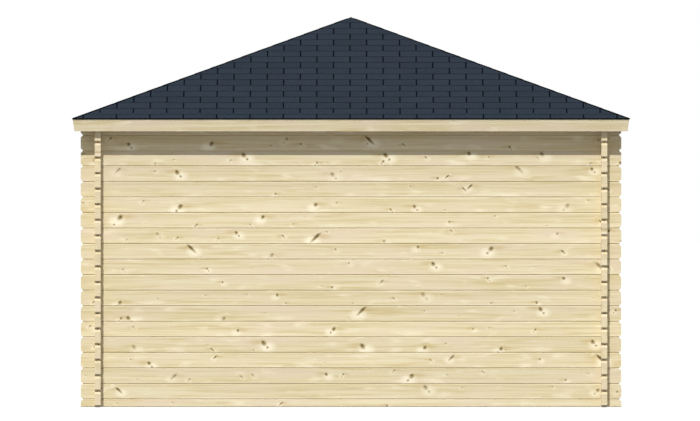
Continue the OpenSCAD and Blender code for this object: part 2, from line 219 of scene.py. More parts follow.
def spruce_figure():
    """A node group with the figure of planed spruce: rings round a wandering heart, knots, end grain."""
    group = bpy.data.node_groups.new("spruce_figure", "ShaderNodeTree")
    for name in ("Along", "Through", "Board", "Offset", "Width", "End", "Seed", "Knotty", "Tone", "Rain"):
        group.interface.new_socket(name, in_out="INPUT", socket_type="NodeSocketFloat")
    for name, kind in (("Colour", "Color"), ("Roughness", "Float"), ("Height", "Float")):
        group.interface.new_socket(name, in_out="OUTPUT", socket_type="NodeSocket" + kind)
    shade = Shade(group)
    given = shade.node("NodeGroupInput").outputs()
    along, through, board, offset, width, end, seed, knotty, given_tone, joint_shading = given[:10]
    luck = shade.chance(board, seed, 0.25)
    mood = shade.chance(board, seed, 0.75)
    share = knotty * (0.15 + 0.85 * luck[0])
    big = knots(shade, along, offset, board, BIG_KNOT_GAP, BIG_KNOT, share, seed + 1)
    share = knotty * (0.15 + 0.7 * luck[1])
    small = knots(shade, along, offset, board, SMALL_KNOT_GAP, SMALL_KNOT, share, seed + 2)
    knot, heart, resin = (big[i].most(small[i]) for i in (0, 1, 3))
    pale = (0.9 * big[2]).most(0.55 * small[2])
    bent = offset - 0.75 * (big[4] + small[4])

    drift = shade.noise(along * 0.55, board * 3.1, seed) - 0.5
    up = bent + (luck[0] - 0.5) * 0.12 + drift * 0.09
    deep = through + (luck[1] - 0.5) * 0.07 + drift * 0.03
    wobble = shade.noise(along * 1.6, bent * 16, through * 16)
    rings = (up ** 2 + deep ** 2) ** 0.5 / RING_W + wobble * 2.2
    late = (rings - rings.floor()) ** 2.2
    streak = shade.noise(along * 0.9 + board * 2.7, bent * 46, through * 46, detail=4.0).ramp(0.38, 0.68)
    line = shade.noise(along * 2.6 + board * 1.3, bent * 150, through * 150, detail=3.0).ramp(0.53, 0.7)
    vein = shade.noise(along * 0.7 + board * 3.7, bent * 30, through * 30, detail=1.0)
    vein = abs(vein - 0.5).ramp(0.06, 0.0)
    band = shade.noise(along * 0.35 + board * 5.1, bent * 13, through * 13).ramp(0.38, 0.66)
    cloud = shade.noise(along * 1.7 + board * 9.7, bent * 7, seed).ramp(0.44, 0.66)
    shimmer = shade.noise(along * 4.5 + board * 4.3, bent * 17, seed + 7, detail=3.0).ramp(0.54, 0.78)
    fibre = shade.noise(along * 22, bent * 560, through * 560)

    figure = streak * 0.42 + late * 0.14 + band * 0.2 + line * 0.46 + vein * 0.4
    colour = figure.blend(PALE_WOOD, STRAW_WOOD)
    colour = (cloud * (0.3 + 0.6 * mood[0])).blend(colour, ROSY_WOOD)
    colour = (shimmer * 0.55).blend(colour, WHITE_WOOD)
    colour = (resin * 0.5).blend(colour, RESIN_WOOD)
    colour = pale.blend(colour, WHITE_WOOD)
    colour = (knot * 0.85).blend(colour, KNOT_WOOD)
    colour = (heart * 0.85).blend(colour, KNOT_HEART)
    colour = (end * (0.25 + 0.35 * late)).blend(colour, END_WOOD)
    # Painted shade: a dark line along the lower edge of each board, at its joint, where the input that
    # switches it is 1.
    foot = (offset + width / 2).ramp(*JOINT_EDGE) * (1 - end) * joint_shading
    tone = 0.96 + 0.08 * mood[1] - (0.04 + 0.08 * mood[2]) * offset / width + 0.06 * (fibre - 0.5)
    # Painted shade on the lower bevel of each log end, which faces down away from the lamp.
    painted_end_shade = (offset + width / 2).ramp(*END_EDGE) * end
    colour = (given_tone * tone * (1 - JOINT_SHADE * foot - END_SHADE * painted_end_shade)).tint(colour)
    rough = 0.58 + 0.12 * fibre + 0.1 * end - 0.12 * knot
    height = 0.5 * late + 0.7 * fibre + 0.4 * line + 0.3 * knot
    shade.node("NodeGroupOutput", None, {"Colour": colour, "Roughness": rough, "Height": height})
    return group


FIGURE = spruce_figure()


def spruce_face(shade, shader, **figure):
    """Finishes a shader with the figure of spruce and returns the colour."""
    colour, rough, height = shade.node("ShaderNodeGroup", {"node_tree": FIGURE}, figure).outputs()
    finish_surface(shade, shader, height, depth=0.0005, strength=0.45, Base_Color=colour, Roughness=rough)
    shader.inputs["Specular IOR Level"].default_value = 0.3
    return colour


def spruce(name, axes, width, shift, core, seed, knotty=1.0, turn=None, tone=1.0, joint_shade_top=math.inf):
    """Spruce for straight boards of one width. axes names the ways along, across and through them; the last
    argument is the place across them above which their joints get no painted shade."""
    made, shade, shader = new_material(name)
    place = shade.node("ShaderNodeTexCoord", out="Object")
    normal = shade.node("ShaderNodeTexCoord", out="Normal")
    if turn:
        spin = {"rotation_type": "EULER_XYZ", "invert": True}
        place = shade.node("ShaderNodeVectorRotate", spin, {"Vector": place, "Rotation": turn})
        normal = shade.node("ShaderNodeVectorRotate", spin, {"Vector": normal, "Rotation": turn})
    parts = place.split()
    along, across, through = (parts["xyz".index(axis)] for axis in axes)
    board = ((across + shift) / width).floor()
    offset = across + shift - (board + 0.5) * width
    end = abs(normal.split()["xyz".index(axes[0])]).ramp(0.4, 0.7)
    # Joints get painted shade only below the given height.
    joint_shading = across < joint_shade_top if joint_shade_top < math.inf else 1.0
    spruce_face(shade, shader, Along=along, Through=through - core, Board=board, Offset=offset, Width=width,
                End=end, Seed=seed, Knotty=knotty, Tone=tone, Rain=joint_shading)
    return made


def dress(node, material):
    """Gives a CAD node its finish."""
    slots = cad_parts[node].data.materials
    slots.clear()
    slots.append(material)


SIDES = ("back", "right", "front", "left")
CROSSWISE = ("right", "left")
# Height of the lower edge of the eaves' shadow on the walls; above it the joints get no painted shade.
EAVES_SHADOW_EDGE = 1.87
for seed, side in enumerate(SIDES):
    way, shift = ("yzx", 0) if side in CROSSWISE else ("xzy", log_h / 2)
    core = wall_mid if side in ("right", "front") else -wall_mid
    wall = spruce(f"{side}_wall_spruce", way, log_h, shift, core, seed, joint_shade_top=EAVES_SHADOW_EDGE)
    for run in ("odd", "even"):
        dress(f"{side}_wall_{run}_logs", wall)


# Roof frame. Planed spruce rafters, notched over the top logs and nailed; heavier hip rafters run from the
# corners to an eight-sided hub under the roof's point. Bevelled blocks close the eaves between them.
PITCH = math.radians(20)
HIP_PITCH = math.atan(math.tan(PITCH) / math.sqrt(2))
RAFTER_GAP = 0.62
RAFTER_DEPTH = 0.072
ONE_BOARD = 1.0
shingle_low, shingle_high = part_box("back_shingles")
SLOPE_TURNS = {
    "back": (PITCH, 0, 0),
    "right": (0, PITCH, 0),
    "front": (-PITCH, 0, 0),
    "left": (0, -PITCH, 0),
}
HIP_TURNS = {"back_left": 45, "back_right": 135, "front_right": 225, "front_left": 315}
rafter_core = shingle_high.z * math.cos(PITCH) - RAFTER_DEPTH
for seed, side in enumerate(SIDES):
    way = "xyz" if side in CROSSWISE else "yxz"
    wood = spruce(f"{side}_rafter_spruce", way, RAFTER_GAP, RAFTER_GAP / 2, rafter_core, 20 + seed,
                  knotty=0.7, turn=SLOPE_TURNS[side])
    dress(f"{side}_rafters", wood)
    way = "yzx" if side in CROSSWISE else "xzy"
    core = wall_mid if side in ("right", "front") else -wall_mid
    wood = spruce(f"{side}_block_spruce", way, ONE_BOARD, ONE_BOARD / 2 - logs_high.z, core, 24 + seed,
                  knotty=0.4)
    dress(f"{side}_eaves_blocks", wood)
for seed, (corner, angle) in enumerate(HIP_TURNS.items()):
    turn = (0, -HIP_PITCH, math.radians(angle))
    core = shingle_high.z * math.cos(HIP_PITCH) - RAFTER_DEPTH
    wood = spruce(f"{corner}_hip_spruce", "xyz", ONE_BOARD, ONE_BOARD / 2, core, 28 + seed, knotty=0.7,
                  turn=turn)
    dress(f"{corner}_hip_rafter", wood)
dress("roof_hub", spruce("hub_spruce", "zxy", ONE_BOARD, ONE_BOARD / 2, 0, 32, knotty=0.3))


# Roof boards. Tongued and grooved spruce boards, bevelled at the joints below, nailed across the rafters
# from the eaves up and mitred over the hips. Their undersides are the ceiling.
BOARD_COVER = 0.094
BOARD_T = 0.018
BOARD_BEVEL = 0.003
BOARD_GAP = 0.0002
FASCIA_ROOM = 0.010
SHINGLE_T = 0.006
eaves = -shingle_low.y


def slope_point(x, s, n):
    """A point of the back slope: x along the eaves, s up from its edge, n above the roof boards."""
    out = eaves - s * math.cos(PITCH) - (n - SHINGLE_T) * math.sin(PITCH)
    level = shingle_high.z - (eaves - s * math.cos(PITCH)) * math.tan(PITCH)
    return Vector((x, -out, level + (n - SHINGLE_T) * math.cos(PITCH)))


def mitred(section, side):
    """The outline of a section of the slope where it meets the next slope."""
    points = [slope_point(0, s, n) for s, n in section]
    return [Vector((side * max(-p.y, 0), p.y, p.z)) for p in points]


class Mesh:
    """Collects the faces of one piece, with a material number and a tone for each."""

    def __init__(self):
        self.points, self.faces, self.kinds, self.tones = [], [], [], []

    def loft(self, loops, kind=0, last_kind=0, tone=0.5):
        """A closed solid through outlines that have the same number of points."""
        first, count = len(self.points), len(loops[0])
        last = first + count * (len(loops) - 1)
        for loop in loops:
            self.points += loop
        self.tones += [tone] * (count * len(loops))
        self.faces += [tuple(range(first, first + count)), tuple(range(last, last + count))]
        self.kinds += [kind, last_kind]
        for start in range(first, last, count):
            for i in range(count):
                j = (i + 1) % count
                self.faces.append((start + i, start + j, start + count + j, start + count + i))
                self.kinds.append(kind)

    def piece(self, name, materials, slot, turn=0.0, smooth=None):
        """Makes the object, turned about the building's middle, and puts it on the frame."""
        data = bpy.data.meshes.new(name)
        data.from_pydata(self.points, [], self.faces)
        data.polygons.foreach_set("material_index", self.kinds)
        data.attributes.new("tone", "FLOAT", "POINT").data.foreach_set("value", self.tones)
        for material in materials:
            data.materials.append(material)
        work = bmesh.new()
        work.from_mesh(data)
        bmesh.ops.recalc_face_normals(work, faces=work.faces)
        work.to_mesh(data)
        work.free()
        if smooth:
            data.shade_smooth()
            data.set_sharp_from_angle(angle=smooth)
        made = bpy.data.objects.new(name, data)
        made.rotation_euler.z = turn
        bpy.context.scene.collection.objects.link(made)
        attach(made, "root")
        return made


board_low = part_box("back_roof_boards")[0]
first_edge = (eaves + board_low.y + FASCIA_ROOM) / math.cos(PITCH)
last_edge = eaves / math.cos(PITCH) - BOARD_GAP
first_point = slope_point(0, first_edge, 0)
board_shift = -(first_point.y * math.cos(PITCH) + first_point.z * math.sin(PITCH))
board_core = first_point.z * math.cos(PITCH) - first_point.y * math.sin(PITCH) - BOARD_T / 2
for seed, side in enumerate(SIDES):
    ceiling = Mesh()
    for number in range(math.ceil((last_edge - first_edge) / BOARD_COVER)):
        a = first_edge + number * BOARD_COVER + BOARD_GAP
        b = min(a + BOARD_COVER - 2 * BOARD_GAP, last_edge)
        section = [(a, BOARD_BEVEL - BOARD_T), (a + BOARD_BEVEL, -BOARD_T), (b - BOARD_BEVEL, -BOARD_T),
                   (b, BOARD_BEVEL - BOARD_T), (b, 0), (a, 0)]
        ceiling.loft([mitred(section, -1), mitred(section, 1)])
    wood = spruce(f"{side}_roof_board_spruce", "xyz", BOARD_COVER, board_shift, board_core, 40 + seed,
                  turn=(PITCH, 0, 0))
    planks = ceiling.piece(f"{side}_roof_planks", [wood], "roof_spruce", seed * math.pi / 2)
    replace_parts(planks, f"{side}_roof_boards")


# Roof covering. Mineral-faced bitumen strips, cut into square tabs by slits, laid in courses with half a
# tab's stagger and nailed through the part that the next course covers. They are cut short of the hips,
# where the bare strip below shows as a black line, and the first strip is turned down over the eaves.
TAB_W = 0.2466
TAB_SHIFT = -0.007
SLIT_W = 0.0102
COURSE = 0.1236
FIRST_COURSE = 0.0885
OVERLAP = 0.03
STRIP_BACK = 0.003
STRIP_FACE = 0.0021
STRIP_UNDER = 0.004
TAB_T = 0.002
STEP = 0.0025
HIP_CUT = 0.026
DRIP_H = 0.009
DRIP_T = 0.003
TAB_UNEVEN = 0.0004
TAB_SLATE = (0.0115, 0.019, 0.028, 1)
TAB_BLUE = (0.013, 0.018, 0.031, 1)
TAB_PALE = (0.0275, 0.040, 0.057, 1)
BITUMEN_AND_SHADE_BLACK = (0.0006, 0.0018, 0.0038, 1)
BITUMEN_AND_SHADE_GREY = (0.0016, 0.0044, 0.0078, 1)
MINERAL, BITUMEN = 0, 1


def clip(outline, a, b, c):
    """The part of an outline where a * x + b * s <= c."""
    kept = []
    for p, q in zip(outline, outline[1:] + outline[:1]):
        p_side = a * p[0] + b * p[1] - c
        q_side = a * q[0] + b * q[1] - c
        if p_side <= 0:
            kept.append(p)
        if p_side * q_side < 0:
            t = p_side / (p_side - q_side)
            kept.append((p[0] + t * (q[0] - p[0]), p[1] + t * (q[1] - p[1])))
    return kept


def within_hips(outline, cut):
    """Cuts an outline of the slope, in x and s, back to the two hips."""
    for side in (-1, 1):
        outline = clip(outline, side, math.cos(PITCH), eaves - cut) if outline else []
    return outline


def course_level(s, foot, drop):
    """A height above the boards, drop below the face of a course, which sinks towards its head."""
    return SHINGLE_T - drop - STEP * (s - foot) / COURSE


def course_layer(outline, foot, drop):
    return [slope_point(x, s, course_level(s, foot, drop)) for x, s in outline]


def mineral_face():
    """Slate-grey mineral chips pressed into the bitumen, a little lighter or darker from tab to tab."""
    made, shade, shader = new_material("shingle_mineral")
    x, y, z = shade.node("ShaderNodeTexCoord", out="Object").split()
    chips = shade.noise(x * 420, y * 420, z * 420, detail=3.0)
    grain = shade.noise(x * 95, y * 95, z * 95, detail=1.0).ramp(0.3, 0.7)
    patch = shade.noise(x * 7, y * 7, z * 7)
    cool = shade.noise(x * 2.5, y * 2.5, z * 2.5).ramp(0.4, 0.65)
    tone = shade.node("ShaderNodeAttribute", {"attribute_name": "tone"}, out="Fac")
    shine = chips.ramp(0.35, 0.8)
    dark = cool.blend(TAB_SLATE, TAB_BLUE)
    colour = (shine * 0.5 + grain * 0.36 + 0.22 * patch).blend(dark, TAB_PALE)
    colour = (0.94 + 0.12 * tone).tint(colour)
    rough = 0.82 + 0.15 * chips
    finish_surface(shade, shader, chips, depth=0.0012, strength=0.6, Base_Color=colour, Roughness=rough)
    shader.inputs["Specular IOR Level"].default_value = 0.12
    return made


def bitumen_and_slit_shade():
    """Black bitumen at the cut edges and on the strip under each course, whose black in the slits is partly
    painted shade.
    """
    made, shade, shader = new_material("shingle_bitumen_and_slit_shade")
    x, y, z = shade.node("ShaderNodeTexCoord", out="Object").split()
    grit = shade.noise(x * 160, y * 160, z * 160, detail=3.0)
    colour = grit.blend(BITUMEN_AND_SHADE_BLACK, BITUMEN_AND_SHADE_GREY)
    rough = 0.75 + 0.2 * grit
    finish_surface(shade, shader, grit, depth=0.0006, strength=0.5, Base_Color=colour, Roughness=rough)
    shader.inputs["Specular IOR Level"].default_value = 0.02
    return made


covering_faces = (mineral_face(), bitumen_and_slit_shade())
course_edges = [0.0]
while course_edges[-1] < last_edge:
    course_edges.append(FIRST_COURSE + COURSE * (len(course_edges) - 1))
chance = random.Random(7)
tabs = math.ceil(eaves / TAB_W) + 1
drip_out = eaves - SHINGLE_T * math.sin(PITCH)
drip_top = shingle_low.z + SHINGLE_T * math.cos(PITCH) - STEP
drip_section = [(drip_out, drip_top), (drip_out, shingle_low.z - DRIP_H + SHINGLE_T),
                (drip_out - DRIP_T, shingle_low.z - DRIP_H + SHINGLE_T), (drip_out - DRIP_T, drip_top)]
for turn, side in enumerate(SIDES):
    covering = Mesh()
    for row, (foot, head) in enumerate(zip(course_edges, course_edges[1:])):
        far = head + OVERLAP
        # The bitumen strip under each course: where it shows in the slits its black is partly bare bitumen
        # and partly painted shade.
        low, high = foot + STRIP_BACK, min(far, last_edge)
        ends = [(low, STRIP_UNDER), (low, STRIP_FACE), (high, STRIP_FACE), (high, STRIP_UNDER)]
        section = [(s, course_level(s, foot, drop)) for s, drop in ends]
        covering.loft([mitred(section, -1), mitred(section, 1)], BITUMEN, BITUMEN)
        for tab in range(-tabs, tabs):
            left = (tab + 0.5 * (row % 2)) * TAB_W + TAB_SHIFT + SLIT_W / 2
            right = left + TAB_W - SLIT_W
            outline = within_hips([(left, foot), (right, foot), (right, far), (left, far)], HIP_CUT)
            sunk = chance.uniform(0.0, TAB_UNEVEN)
            tone = chance.random()
            if len(outline) > 2:
                under = course_layer(outline, foot, TAB_T + sunk)
                face = course_layer(outline, foot, sunk)
                covering.loft([under, face], BITUMEN, MINERAL, tone)
    drip = [[Vector((end * out, -out, z)) for out, z in drip_section] for end in (-1, 1)]
    covering.loft(drip, BITUMEN, BITUMEN)
    angle = turn * math.pi / 2
    courses = covering.piece(f"{side}_shingle_courses", covering_faces, "bitumen_shingle", angle)
    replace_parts(courses, f"{side}_shingles")


# Fascia. One planed spruce board under each roof edge, nailed to the rafter ends so that it leans out at
# the top, and mitred at the corners.
FASCIA_TONE = 0.935
fascia_low, fascia_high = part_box("back_fascia")
for seed, side in enumerate(SIDES):
    way = "yzx" if side in CROSSWISE else "xzy"
    core = -fascia_low.y if side in ("right", "front") else fascia_low.y
    shift = ONE_BOARD / 2 - (fascia_low.z + fascia_high.z) / 2
    wood = spruce(f"{side}_fascia_spruce", way, ONE_BOARD, shift, core, 10 + seed, knotty=0.1,
                  tone=FASCIA_TONE)
    dress(f"{side}_fascia", wood)


# Floor. Tongued and grooved spruce boards with eased edges, nailed across bearers that lie on the ground
# between the walls, and cut out round the door frame.
FLOOR_COVER = 0.093
FLOOR_EASE = 0.002
CUT_GAP = 0.0003
floor_low, floor_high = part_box("floor_boards")
sill_low, sill_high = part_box("door_threshold")
bearer_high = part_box("floor_bearers")[1]
rows = round((floor_high.x - floor_low.x) / FLOOR_COVER)
cover = (floor_high.x - floor_low.x) / rows
planking = Mesh()


def floor_plank(x0, x1, y0, y1):
    top, base = floor_high.z, floor_low.z
    section = [(x0, base), (x1, base), (x1, top - FLOOR_EASE), (x1 - FLOOR_EASE, top),
               (x0 + FLOOR_EASE, top), (x0, top - FLOOR_EASE)]
    planking.loft([[Vector((x, y, z)) for x, z in section] for y in (y0, y1)])


for row in range(rows):
    x0 = floor_low.x + row * cover + BOARD_GAP
    x1 = x0 + cover - 2 * BOARD_GAP
    cut = sill_high.x + CUT_GAP
    free = min(abs(x0), abs(x1)) >= cut and x0 * x1 > 0
    floor_plank(x0, x1, floor_low.y, floor_high.y if free else sill_low.y - CUT_GAP)
    if not free and x1 > cut:
        floor_plank(cut, x1, sill_low.y - CUT_GAP, floor_high.y)
    if not free and x0 < -cut:
        floor_plank(x0, -cut, sill_low.y - CUT_GAP, floor_high.y)
floor_mid = (floor_low.z + floor_high.z) / 2
floor_wood = spruce("floor_board_spruce", "yxz", cover, -floor_low.x, floor_mid, 50)
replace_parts(planking.piece("floor_planks", [floor_wood], "floor_spruce"), "floor_boards")
bearer_wood = spruce("bearer_spruce", "xyz", ONE_BOARD, ONE_BOARD / 2, bearer_high.z / 2, 51, knotty=0.5)
dress("floor_bearers", bearer_wood)


# Door frame. Clear planed spruce jambs, head and threshold with a groove that clasps the log ends, so that
# the logs can settle, and a stop that the leaves close against.
jamb_wood = spruce("jamb_spruce", "zxy", ONE_BOARD, ONE_BOARD / 2, wall_mid, 60, knotty=0.2)
rail_wood = spruce("frame_rail_spruce", "xzy", ONE_BOARD, ONE_BOARD / 2, wall_mid, 61, knotty=0.2)
for node in ("left_door_jamb", "right_door_jamb"):
    dress(node, jamb_wood)
for node in ("door_head", "door_threshold"):
    dress(node, rail_wood)


# Door leaves. Two stiles and three rails of spruce, tenoned together, with a pane above and upright boards
# in the lower panel. The pane's beads and bars are small spruce mouldings, pinned on from both sides.
STILE_W = 0.095
BOTTOM_RAIL = 0.14
PANEL_H = 0.48
PANEL_T = 0.016
SEAM_W = 0.0009
leaf_low, leaf_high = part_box("left_door_leaf")
pane_low, pane_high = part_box("door_glass")
leaf_mid = (leaf_low.y + leaf_high.y) / 2
pane_near = -leaf_high.x + STILE_W
pane_far = -leaf_low.x - STILE_W
panel_base = leaf_low.z + BOTTOM_RAIL
panel_top = panel_base + PANEL_H
glass_base = panel_top + STILE_W
glass_top = leaf_high.z - STILE_W


def leaf_wood():
    """Spruce with upright grain in the stiles, level grain in the rails and painted shade in the joints
    between.
    """
    made, shade, shader = new_material("door_leaf_spruce")
    x, y, z = shade.node("ShaderNodeTexCoord", out="Object").split()
    wide = abs(x)
    rail = (wide > pane_near) * (wide < pane_far) * (1 - (z > panel_base) * (z < panel_top))
    along = z + rail * (x - z)
    across = x + rail * (z - x)
    board = (rail * (z * 1.6 + 9) + (1 - rail) * (x * 2.4)).floor()
    offset = across - (across / STILE_W).floor() * STILE_W - STILE_W / 2
    colour = spruce_face(shade, shader, Along=along, Through=y - leaf_mid, Board=board, Offset=offset,
                         Width=STILE_W, End=0.0, Seed=62, Knotty=0.25, Tone=1.0, Rain=1.0)
    # Painted shade: a thin dark line where the rails meet the stiles.
    painted_seam_shade = abs(wide - pane_near).ramp(SEAM_W, 0).most(abs(wide - pane_far).ramp(SEAM_W, 0))
    made.node_tree.links.new((1 - 0.6 * painted_seam_shade).tint(colour).socket, shader.inputs["Base Color"])
    return made


leaf_spruce = leaf_wood()
for node in ("left_door_leaf", "right_door_leaf"):
    dress(node, leaf_spruce)

BEAD_W = 0.012
BEAD_OUT = 0.0135
BEAD_SHAPE = [(0, 0), (BEAD_W, 0), (BEAD_W, 0.003), (0.0105, 0.0085), (0.007, 0.012), (0.003, BEAD_OUT),
              (0, BEAD_OUT)]
BAR_W = 0.022
BAR_OUT = 0.013
BAR_BEVEL = 0.004
PANEL_BOARDS = 6
PANEL_BOARD_T = 0.005
MOULDING_STOCK = 0.3
UPRIGHT, LEVEL = 0, 1
panel_board_w = (pane_far - pane_near) / PANEL_BOARDS
upright_wood = spruce("moulding_upright_spruce", "zxy", MOULDING_STOCK, 0, leaf_mid, 63, knotty=0.0)
level_wood = spruce("moulding_level_spruce", "xzy", MOULDING_STOCK, 0, leaf_mid, 64, knotty=0.0)
panel_wood = spruce("panel_board_spruce", "zxy", panel_board_w, -pane_near, leaf_mid, 65, knotty=0.6)


def bead_ring(mesh, x0, x1, z0, z1, face, way):
    """A moulding mitred round an opening, standing on a face and facing along way."""
    for grain, ends in ((UPRIGHT, (x0, x1)), (LEVEL, (z0, z1))):
        for end, inward in zip(ends, (1, -1)):
            loops = []
            for low in (True, False):
                loop = []
                for inset, rise in BEAD_SHAPE:
                    x = z = end + inward * inset
                    if grain == UPRIGHT:
                        z = z0 + inset if low else z1 - inset
                    else:
                        x = x0 + inset if low else x1 - inset
                    loop.append(Vector((x, face + way * rise, z)))
                loops.append(loop)
            mesh.loft(loops, grain, grain)


def bar(mesh, start, end, edge, face, way, grain):
    """A glazing bar with bevelled edges, from start to end along its grain and from edge across it."""
    section = [(0, 0), (0, BAR_OUT - BAR_BEVEL), (BAR_BEVEL, BAR_OUT), (BAR_W - BAR_BEVEL, BAR_OUT),
               (BAR_W, BAR_OUT - BAR_BEVEL), (BAR_W, 0)]
    if grain == UPRIGHT:
        loops = [[Vector((edge + u, face + way * v, z)) for u, v in section] for z in (start, end)]
    else:
        loops = [[Vector((x, face + way * v, edge + u)) for u, v in section] for x in (start, end)]
    mesh.loft(loops, grain, grain)


def panel_board(mesh, x0, x1, face, way):
    """An upright board of the lower panel with bevelled edges."""
    section = [(x0, 0), (x0, PANEL_BOARD_T - BOARD_BEVEL), (x0 + BOARD_BEVEL, PANEL_BOARD_T),
               (x1 - BOARD_BEVEL, PANEL_BOARD_T), (x1, PANEL_BOARD_T - BOARD_BEVEL), (x1, 0)]
    mesh.loft([[Vector((x, face + way * v, z)) for x, v in section] for z in (panel_base, panel_top)])


for hand, name in ((-1, "left"), (1, "right")):
    mouldings, lining = Mesh(), Mesh()
    x0, x1 = sorted((hand * pane_near, hand * pane_far))
    middle = (x0 + x1) / 2
    for way in (-1, 1):
        glass_face = pane_high.y if way > 0 else pane_low.y
        panel_face = leaf_mid + way * PANEL_T / 2
        bead_ring(mouldings, x0, x1, glass_base, glass_top, glass_face, way)
        bar_edge = middle - BAR_W / 2
        bar(mouldings, glass_base + BEAD_W, glass_top - BEAD_W, bar_edge, glass_face, way, UPRIGHT)
        for third in (1, 2):
            level = glass_base + third * (glass_top - glass_base) / 3 - BAR_W / 2
            bar(mouldings, x0 + BEAD_W, bar_edge, level, glass_face, way, LEVEL)
            bar(mouldings, bar_edge + BAR_W, x1 - BEAD_W, level, glass_face, way, LEVEL)
        for number in range(PANEL_BOARDS):
            edge = x0 + number * panel_board_w
            panel_board(lining, edge + BOARD_GAP, edge + panel_board_w - BOARD_GAP, panel_face, way)
    mouldings.piece(f"{name}_leaf_mouldings", (upright_wood, level_wood), "joinery_spruce")
    lining.piece(f"{name}_leaf_panel_boards", [panel_wood], "joinery_spruce")


# Panes. Clear float glass, one sheet to a leaf, cut to the grooves in its stiles and rails and held there
# by the beads. A few wiped smears only show as a change of gloss.
GLASS_CLEAR = (0.93, 0.97, 0.96, 1)
GLASS_SMEARED = (0.90, 0.94, 0.93, 1)
glass, shade, shader = new_material("door_pane_glass")
x, y, z = shade.node("ShaderNodeTexCoord", out="Object").split()
smear = shade.noise(x * 3 + z * 2, y, z * 9 - x * 5, detail=4.0).ramp(0.45, 0.75)
shade.tree.links.new((0.01 + 0.05 * smear).socket, shader.inputs["Roughness"])
shade.tree.links.new(smear.blend(GLASS_CLEAR, GLASS_SMEARED).socket, shader.inputs["Base Color"])
shader.inputs["Transmission Weight"].default_value = 1.0
shader.inputs["IOR"].default_value = 1.5
dress("door_glass", glass)


# Lever handles. A long rounded plate on each side of the right leaf, a bent round lever and a lock cylinder
# below it, all of satin steel, held by two screws through the plate.
PLATE_ROUND = 0.012
PLATE_EASE = 0.0015
LEVER_R = 0.009
LEVER_BEND = 0.016
LEVER_TIP = 0.014
LEVER_TAPER = 0.22
LEVER_END = ((0.8, 0.3), (0.4, 0.5))
BEND_STEPS = 8
TIP_STEPS = 6
SEAT = 0.0005
COLLAR_R = 0.0135
COLLAR_OUT = 0.004
COLLAR_EDGE = 0.0025
COLLAR_EASE = 0.0018
LOCK_DROP = 0.072
LOCK_R = 0.0085
LOCK_TAIL = 0.022
LOCK_NECK = 0.0051
LOCK_OUT = 0.004
LOCK_SIDES = 16
SCREW_R = 0.0036
SCREW_OUT = 0.0014
SCREW_SHAPE = ((1, 0), (1, 0.4), (0.75, 1), (0.45, 1), (0.45, 0.3))
ROUND_SIDES = 20
SCREW_SIDES = 12
SOFT_EDGE = math.radians(35)
BRUSH_ALONG = 40
BRUSH_ACROSS = 1800
STEEL_DARK = (0.42, 0.42, 0.42, 1)
STEEL_BRIGHT = (0.64, 0.64, 0.65, 1)
handle_low, handle_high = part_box("door_handle")


def satin_steel(name, way):
    """Steel brushed along one way, with fine scratches and slow clouding in its gloss."""
    made, shade, shader = new_material(name)
    parts = shade.node("ShaderNodeTexCoord", out="Object").split()
    scale = [BRUSH_ALONG if axis == way else BRUSH_ACROSS for axis in "xyz"]
    brush = shade.noise(*(part * size for part, size in zip(parts, scale)), detail=3.0)
    cloud = shade.noise(*(part * 25 for part in parts))
    colour = (brush * 0.6 + cloud * 0.4).blend(STEEL_DARK, STEEL_BRIGHT)
    rough = 0.28 + 0.16 * brush + 0.1 * cloud
    finish_surface(shade, shader, brush, depth=0.0001, strength=0.35, Base_Color=colour, Roughness=rough)
    shader.inputs["Metallic"].default_value = 1.0
    return made


def rounded(w, h, r, sides=5):
    """A rectangle's outline with round corners, about the middle."""
    outline = []
    for corner, (sx, sz) in enumerate(((1, 1), (-1, 1), (-1, -1), (1, -1))):
        for i in range(sides + 1):
            angle = math.pi / 2 * (corner + i / sides)
            outline.append((sx * (w / 2 - r) + r * math.cos(angle), sz * (h / 2 - r) + r * math.sin(angle)))
    return outline


def ring(r, sides=ROUND_SIDES):
    angles = [2 * math.pi * i / sides for i in range(sides)]
    return [(r * math.cos(angle), r * math.sin(angle)) for angle in angles]


def stamp(mesh, loops, x, z, face, way):
    """A solid that stands on a face: each loop is an outline and how far it stands out."""
    mesh.loft([[Vector((x + u, face + way * out, z + v)) for u, v in outline] for outline, out in loops])


def screw(mesh, x, z, face, way):
    """A low round head with a socket."""
    loops = [(ring(SCREW_R * share, SCREW_SIDES), SCREW_OUT * rise) for share, rise in SCREW_SHAPE]
    stamp(mesh, loops, x, z, face, way)


PLATE_W = 0.04
PLATE_T = 0.005
handle_x = handle_low.x + PLATE_W / 2
handle_z = (handle_low.z + handle_high.z) / 2
plate_h = handle_high.z - handle_low.z
lever_out = handle_high.y - leaf_high.y - LEVER_R
lever_len = handle_high.x - handle_x


def lever_path():
    """Points of the lever's middle line, as its way along the door and its distance out from it."""
    path = [(0, PLATE_T / 2), (0, lever_out - LEVER_BEND)]
    for i in range(1, BEND_STEPS + 1):
        angle = math.pi / 2 * i / BEND_STEPS
        path.append((LEVER_BEND * (1 - math.cos(angle)), lever_out - LEVER_BEND * (1 - math.sin(angle))))
    straight = lever_len - LEVER_R - LEVER_TIP
    path.append((straight, lever_out))
    for i in range(1, TIP_STEPS + 1):
        angle = math.pi / 2 * i / TIP_STEPS
        path.append((straight + LEVER_TIP * math.sin(angle), lever_out - LEVER_TIP * (1 - math.cos(angle))))
    return path


